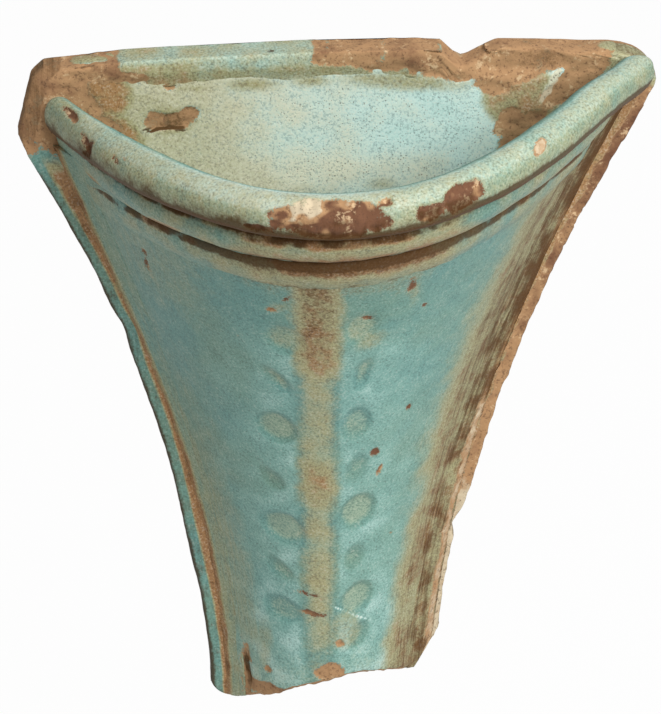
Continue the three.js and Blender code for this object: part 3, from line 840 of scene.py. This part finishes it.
fillets = (("left_seam_fillet", -1.0, LEFT_FILLET_REACH), ("right_seam_fillet", 1.0, RIGHT_FILLET_REACH))
for name, side, reach in fillets:
    sheet, _, around, points, outwards = clay_sheet(columns=260, rows=24, place=fillet_sheet(side, reach))
    x, y, z = points.T
    climb = FILLET_GIRTH * around
    uneven = rough(points, 6.0, 14.0)
    near_toe = ease(around, 0.22, 0.06)
    loss = np.full(len(x), GLAZED)
    if side > 0:
        loss = np.where(around < 0.5, np.minimum(BARE_TOE - climb, 0.2 * (BARE_TOE_LEVEL - z)), loss)
        stain = 1.15 + 0.4 * near_toe + 0.3 * uneven
        dirt = 0.78 - 0.1 * ease(-z, 60, 120) + 0.25 * uneven
        dirt = np.maximum(dirt, 1.1 * ease(patches(climb, z, RIGHT_SLITS), -0.2, 0.2))
    else:
        stain = 0.35 + 0.2 * ease(-z, 70, 130) + (1.2 + 0.5 * uneven) * near_toe
        dirt = 0.25 + 0.2 * near_toe + 0.3 * uneven
    loss = ragged(loss, points)
    bare = ease(loss, -0.3, 0.1)
    wear_fillet = wear_of(points, loss, stain, dirt * (1 - 0.6 * bare), 0.9 * bare)
    depth = 0.12 * rough(points, 5.0) + 0.12 * rough(np.stack([climb, 0 * x, z / 14], axis=1), 1.0)
    points = points + outwards * depth[:, None]
    flow_fillet = np.stack([climb, z, np.ones(len(x))], axis=1)
    settle(name, sheet, points, wear_fillet, flow_fillet, glaze)


# Lower band and rim cordon
# Two strips of clay laid round the front under the rim: a low flat one with a soft lower edge, and a round
# cordon above it. The grooves beside them hold brown dirt.
CORDON_LEVEL, CORDON_HEIGHT, CORDON_PROUD = -11.4, 7.4, 2.4
BAND_LEVEL, BAND_HEIGHT, BAND_PROUD = -19.8, 7.6, 1.2
STRIP_FACE_END = 0.8
STRIP_SUNK = 0.2


def strip_sheet(level, height, proud, softness):
    """The sheet of one strip: over its face from the upper to the lower edge, and back inside the wall"""
    def place(a, b):
        across = np.sin(0.5 * math.pi * (2 * a - 1)) * 0.5 + (2 * a - 1) * 0.5
        face = np.clip(b / STRIP_FACE_END, 0, 1)
        back = np.clip((b - STRIP_FACE_END) / (1 - STRIP_FACE_END), 0, 1)
        offset = 2 * (face - back) - 1
        fullness = np.where(offset > 0, softness, 0.7)
        swell = np.clip(1 - offset ** 2, 0, 1) ** fullness * (b < STRIP_FACE_END)
        fading = ease(across, -0.97, -0.7) * (1 - 0.7 * ease(across, 0.9, 1.0))
        stands = (proud + STRIP_SUNK) * swell * (0.15 + 0.85 * fading)
        return wall_point(across, level - 0.5 * height * offset, STRIP_SUNK - stands)
    return place


# Each strip's level, height and how far it stands out, a little more than its solid's for the soft edges,
# then how soft its lower edge is and how browned it is
strips = (
    ("lower_band", BAND_LEVEL - 0.2, BAND_HEIGHT + 2.6, BAND_PROUD, 1.5, 0.5),
    ("rim_cordon", CORDON_LEVEL + 0.8, CORDON_HEIGHT + 1.6, CORDON_PROUD + 0.2, 0.8, 0.55),
)
for name, level, height, proud, softness, browned in strips:
    strip = strip_sheet(level, height, proud, softness)
    sheet, _, around, points, outwards = clay_sheet(columns=320, rows=36, place=strip)
    x, y, z = points.T
    offset = 2 * np.clip(around / STRIP_FACE_END, 0, 1) - 1
    uneven = rough(points, 6.0, 15.0)
    middle = ease(45 - np.abs(x - 2), 0, 30)
    left = ease(-x, 5, 45)
    right = ease(x, 25, 50)
    soiled = np.maximum(middle, 0.75 * left)
    # Each strip is darkened in the middle on its side towards the groove between them: dirt there, and
    # painted shade on the cordon's lower half and under it on the band
    if name == "rim_cordon":
        settled_dirt_and_shade = 0.4
        groove = ease(np.abs(offset), 0.5, 0.9)
        dirt_and_shade_side = ease(offset, -0.3, 0.5)
        fill = most(ease(offset, 0.1, 0.5), 0.9 * ease(-offset, 0.0, 0.5) * middle, groove)
        groove = np.maximum(groove, 0.9 * ease(-offset, 0.25, 0.65) * middle)
    else:
        settled_dirt_and_shade = 0.72
        groove = ease(-offset, 0.3, 0.7)
        dirt_and_shade_side = ease(-offset, -0.6, 0.4)
        fill = np.maximum(ease(-offset, 0.25, 0.8), ease(-offset, -0.4, 0.3) * middle)
        # The band's lower edge is darkened in the middle with dirt and a painted shadow
        groove = np.maximum(groove, 0.6 * ease(offset, 0.5, 0.85) * middle)
    filled = ease(uneven + 0.45 * middle, -0.25, 0.35) * fill * most(left, middle, right)
    stain = browned * np.maximum(soiled, right) + 0.3 * uneven + (0.2 + 0.4 * dirt_and_shade_side) * middle
    stain = np.maximum(stain, 1.6 * filled)
    held = 0.72 + 0.2 * np.maximum(soiled, right) + 0.35 * uneven + 0.55 * rough(points, 2.6, 25.0)
    dirt = np.maximum(settled_dirt_and_shade * middle * dirt_and_shade_side + held * groove, 0.45 * filled)
    wear_strip = wear_of(points, GLAZED, stain, dirt, 0.15 * uneven - 0.45 * soiled)
    depth = 0.25 * rough(points, 11.0) + 0.12 * rough(points, 3.5) + 0.05 * rough(points, 1.5)
    points = points + outwards * depth[:, None]
    flow_strip = np.stack([offset * 0.5 * height, x, 0 * x + 0.3], axis=1)
    settle(name, sheet, points, wear_strip, flow_strip, glaze)


# Rim roll
# A thick coil laid on the wall's upper edge, with both ends butted on the slab. The glaze is palest on it,
# and it is chipped to the clay in front.
ROLL_RADIUS = 5.3
ROLL_SET_IN = 1.4
ROLL_LEFT_END, ROLL_RIGHT_END = 3.1, 4.5
ROLL_SEAT = -3.8
BOW_LENGTH = 149.0
END_ROUND = 4.0
RIGHT_END_OUT, RIGHT_END_DROP = 1.7, 2.2
LEFT_END_LEAST, RIGHT_END_LEAST = 0.12, 0.5


def roll_sheet(a, b):
    """Along the bow from the left end to the right, and round the coil's section"""
    across = np.sin(0.5 * math.pi * (2 * a - 1)) * 0.6 + (2 * a - 1) * 0.4
    ending = ease(np.abs(across), 0.65, 1.0)
    half = between(ROLL_RADIUS, np.where(across < 0, ROLL_LEFT_END, ROLL_RIGHT_END), ending)
    to_end = np.clip(BOW_LENGTH * (1 - np.abs(across)) / END_ROUND, 0.0, 1.0)
    least = np.where(across < 0, LEFT_END_LEAST, RIGHT_END_LEAST)
    rounded = np.sqrt(np.clip(1 - (1 - to_end) ** 2, least, 1))
    turn = 2 * math.pi * b
    placed = wall_point(across, 0 * a, ROLL_SET_IN - half * rounded * np.cos(turn))
    placed[:, 2] += np.maximum(ROLL_RADIUS * rounded * np.sin(turn), ROLL_SEAT)
    placed[:, 0] += RIGHT_END_OUT * ease(across, 0.8, 1.0)
    placed[:, 2] -= RIGHT_END_DROP * ease(across, 0.8, 1.0)
    return placed


ROLL_LOSS = [
    (-1.5, 22, 10.5, 56), (-11, 34, 5, 22), (8.5, 2, 4.2, 18), (21.2, 5, 3.4, 26), (28.2, 18, 4.8, 36),
    (-57.2, 10, 1.3, 26), (-61, 62, 1.6, 12), (-50.2, 29, 1.0, 8), (-48.3, 40, 0.8, 6), (10.3, 58, 1.3, 9),
    (-18, -12, 2.4, 8), (-14, 4, 1.2, 8),
]
PALE_SPOT = (47.1, 44, 1.6, 18)
ROLL_DIRT = (27, -14, 8, 26)


def on_roll(x, arc, middle, degrees, half_length, half_degrees):
    """Millimetres inside an oval mark on the roll, whose height is given as an angle round it"""
    level = math.radians(degrees) * ROLL_RADIUS
    return spot(x, arc, middle, level, half_length, math.radians(half_degrees) * ROLL_RADIUS)


sheet, _, around, points, outwards = clay_sheet(columns=440, rows=64, place=roll_sheet)
x, y, z = points.T

# Angles run round the coil's section: 0 degrees faces outwards and 90 up
angle = (np.degrees(2 * math.pi * around) + 90) % 360 - 90
arc = np.radians(angle) * ROLL_RADIUS
uneven = rough(points, 6.0, 16.0)
chips = ragged(most(*[on_roll(x, arc, *mark) for mark in ROLL_LOSS]), points)
pale_spot = on_roll(x, arc, *PALE_SPOT)
loss = np.maximum(chips, pale_spot)
above_seat = ease(angle, -80, -60)
# low marks the roll's lower front, which is darkened by a dirt film and pooled green glaze, and also by
# painted shade where it turns away from the light
low = ease(angle, 48, -16) * above_seat
centre = ease(34 - np.abs(x + 12), 0, 30)
seat = ease(angle, -10, -35)
left = ease(-x, -30, 20)
right = ease(x, 8, 34)
stain = 0.6 - 0.07 * right + 0.12 * uneven - 0.35 * ease(angle, 80, 115)
stain = np.maximum(stain, 1.5 * seat)
# Dirt film together with painted shade on the roll's lower front, and at the right on its underside
under = (0.42 + 0.26 * left + 0.35 * uneven) * low
dirt = most(
    under + (0.5 * seat + 1.0 * right * ease(angle, 0, -28)) * above_seat,
    0.75 * ease(on_roll(x, arc, *ROLL_DIRT), -0.5, 1.5),
    # Dirt in the chips low on the roll, which also paints the shadow in them
    (0.6 + 0.4 * uneven) * ease(loss, 0.0, 0.6) * ease(angle, 38, 8),
)
pale_top = ease(angle, -8, 45) * ease(angle, 125, 95) * (1 - 0.05 * right) * (1 - 0.6 * ease(-x, 55, 66))
# The lower front also takes pooled green glaze, which partly stands for painted shade
pale = (0.52 + 0.22 * centre) * pale_top + 0.1 * uneven - (0.7 - 0.3 * right) * low
chip_paleness = -0.9 + 1.8 * rough(points, 3.0, 17.0) + 0.9 * ease(angle, 28, 52) * ease(x, 14, 8)
chip_paleness = chip_paleness + 1.3 * ease(-x, 2, 6) * ease(angle, 0, 16) * ease(x, -18, -14)
pale = between(pale, chip_paleness, ease(loss, -0.3, 0.1))
pale = between(pale, 1.0, ease(pale_spot, -0.3, 0.3))
wear_roll = wear_of(points, loss, stain, dirt, pale)
depth = -0.7 * ease(chips, -0.2, 0.7) + 0.25 * rough(points, 16.0) + 0.1 * rough(points, 4.0)
depth = depth + 0.4 * rough(points, 1.8, 6.0) * ease(chips, 0, 0.8)
points = points + outwards * depth[:, None]
flow_roll = np.stack([x, arc, 0.6 * low], axis=1)
settle("rim_roll", sheet, points, wear_roll, flow_roll, glaze)


# Studio
# A plain white floor under the hanging vase, one large soft lamp from above on the right, and even fill.
FLOOR_DROP = 0.42
FLOOR_SIZE = 6.0
FLOOR_WHITENESS = 0.97


def seen_by(tree, *kinds):
    """Whether a ray is of one of these kinds: 1 or 0"""
    rays = add(tree, "LightPath", {}).outputs
    seen = rays[kinds[0]]
    for kind in kinds[1:]:
        seen = add(tree, "Math", {0: seen, 1: rays[kind]}, operation="MAXIMUM").outputs[0]
    return seen


white_floor = bpy.data.materials.new("white_studio_floor")
white_floor.use_nodes = True
tree = white_floor.node_tree
shader = tree.nodes["Principled BSDF"]
shader.inputs["Base Color"].default_value = linear("#e8e8e6")
shader.inputs["Roughness"].default_value = 0.8
seen = seen_by(tree, "Is Camera Ray", "Is Glossy Ray", "Is Transmission Ray")
seen = add(tree, "Math", {0: seen, 1: FLOOR_WHITENESS}, operation="MULTIPLY").outputs[0]
bright = add(tree, "Emission", {"Color": (1, 1, 1, 1), "Strength": 1.0}).outputs[0]
floor_mix = add(tree, "MixShader", {0: seen, 1: shader.outputs[0], 2: bright}).outputs[0]
tree.links.new(floor_mix, tree.nodes["Material Output"].inputs["Surface"])
ground = bmesh.new()
bmesh.ops.create_grid(ground, x_segments=1, y_segments=1, size=0.5 * FLOOR_SIZE)
bmesh.ops.translate(ground, verts=ground.verts, vec=(0, 0, -FLOOR_DROP))
floor_mesh = bpy.data.meshes.new("studio_floor")
ground.to_mesh(floor_mesh)
ground.free()
floor_mesh.materials.append(white_floor)
studio_floor = bpy.data.objects.new("studio_floor", floor_mesh)
bpy.context.scene.collection.objects.link(studio_floor)

FILL = 0.32
world = bpy.data.worlds.new("studio_fill")
bpy.context.scene.world = world
world.use_nodes = True
tree = world.node_tree
seen = seen_by(tree, "Is Camera Ray", "Is Transmission Ray")
strength = add(tree, "MapRange", {0: seen, 3: FILL, 4: 1.0}).outputs[0]
tree.links.new(strength, tree.nodes["Background"].inputs["Strength"])
tree.nodes["Background"].inputs["Color"].default_value = (1, 1, 1, 1)

LAMP_DISTANCE = 1100.0
LAMP_ELEVATION, LAMP_TO_RIGHT = 45.0, 31.0
LAMP_WATTS = 13.6
LAMP_SIZE = 0.65
LAMP_AIM = (0, -30, -60)


def looking_at(data, target, distance, elevation, to_right):
    """Put a lamp or a camera so many degrees above level and to the right, looking at a point of the vase"""
    level = math.cos(math.radians(elevation))
    side = math.radians(to_right)
    back = Vector((level * math.sin(side), -level * math.cos(side), math.sin(math.radians(elevation))))
    looking = bpy.data.objects.new(data.name, data)
    looking.location = Vector(target) * MM + distance * MM * back
    looking.rotation_euler = back.to_track_quat("Z", "Y").to_euler()
    bpy.context.scene.collection.objects.link(looking)
    return looking


lamp = bpy.data.lights.new("soft_lamp", "AREA")
lamp.energy = LAMP_WATTS
lamp.size = LAMP_SIZE
looking_at(lamp, LAMP_AIM, LAMP_DISTANCE, LAMP_ELEVATION, LAMP_TO_RIGHT)


# Camera
# It looks down on the vase from in front, a little from its left, as the photograph was taken.
IMAGE_HEIGHT_PX = 714
FOCAL_PX = 3076.9
SENSOR_MM = 36.0
CAMERA_DISTANCE = 760.0
CAMERA_ELEVATION, CAMERA_TO_RIGHT = 32.0, -3.0
CAMERA_TARGET = (0.35, -30, -63.27)
camera = bpy.data.cameras.new("camera")
camera.sensor_width = SENSOR_MM
camera.lens = FOCAL_PX * SENSOR_MM / IMAGE_HEIGHT_PX
bpy.context.scene.camera = looking_at(
    camera, CAMERA_TARGET, CAMERA_DISTANCE, CAMERA_ELEVATION, CAMERA_TO_RIGHT
)
bpy.context.scene.view_settings.view_transform = "Standard"
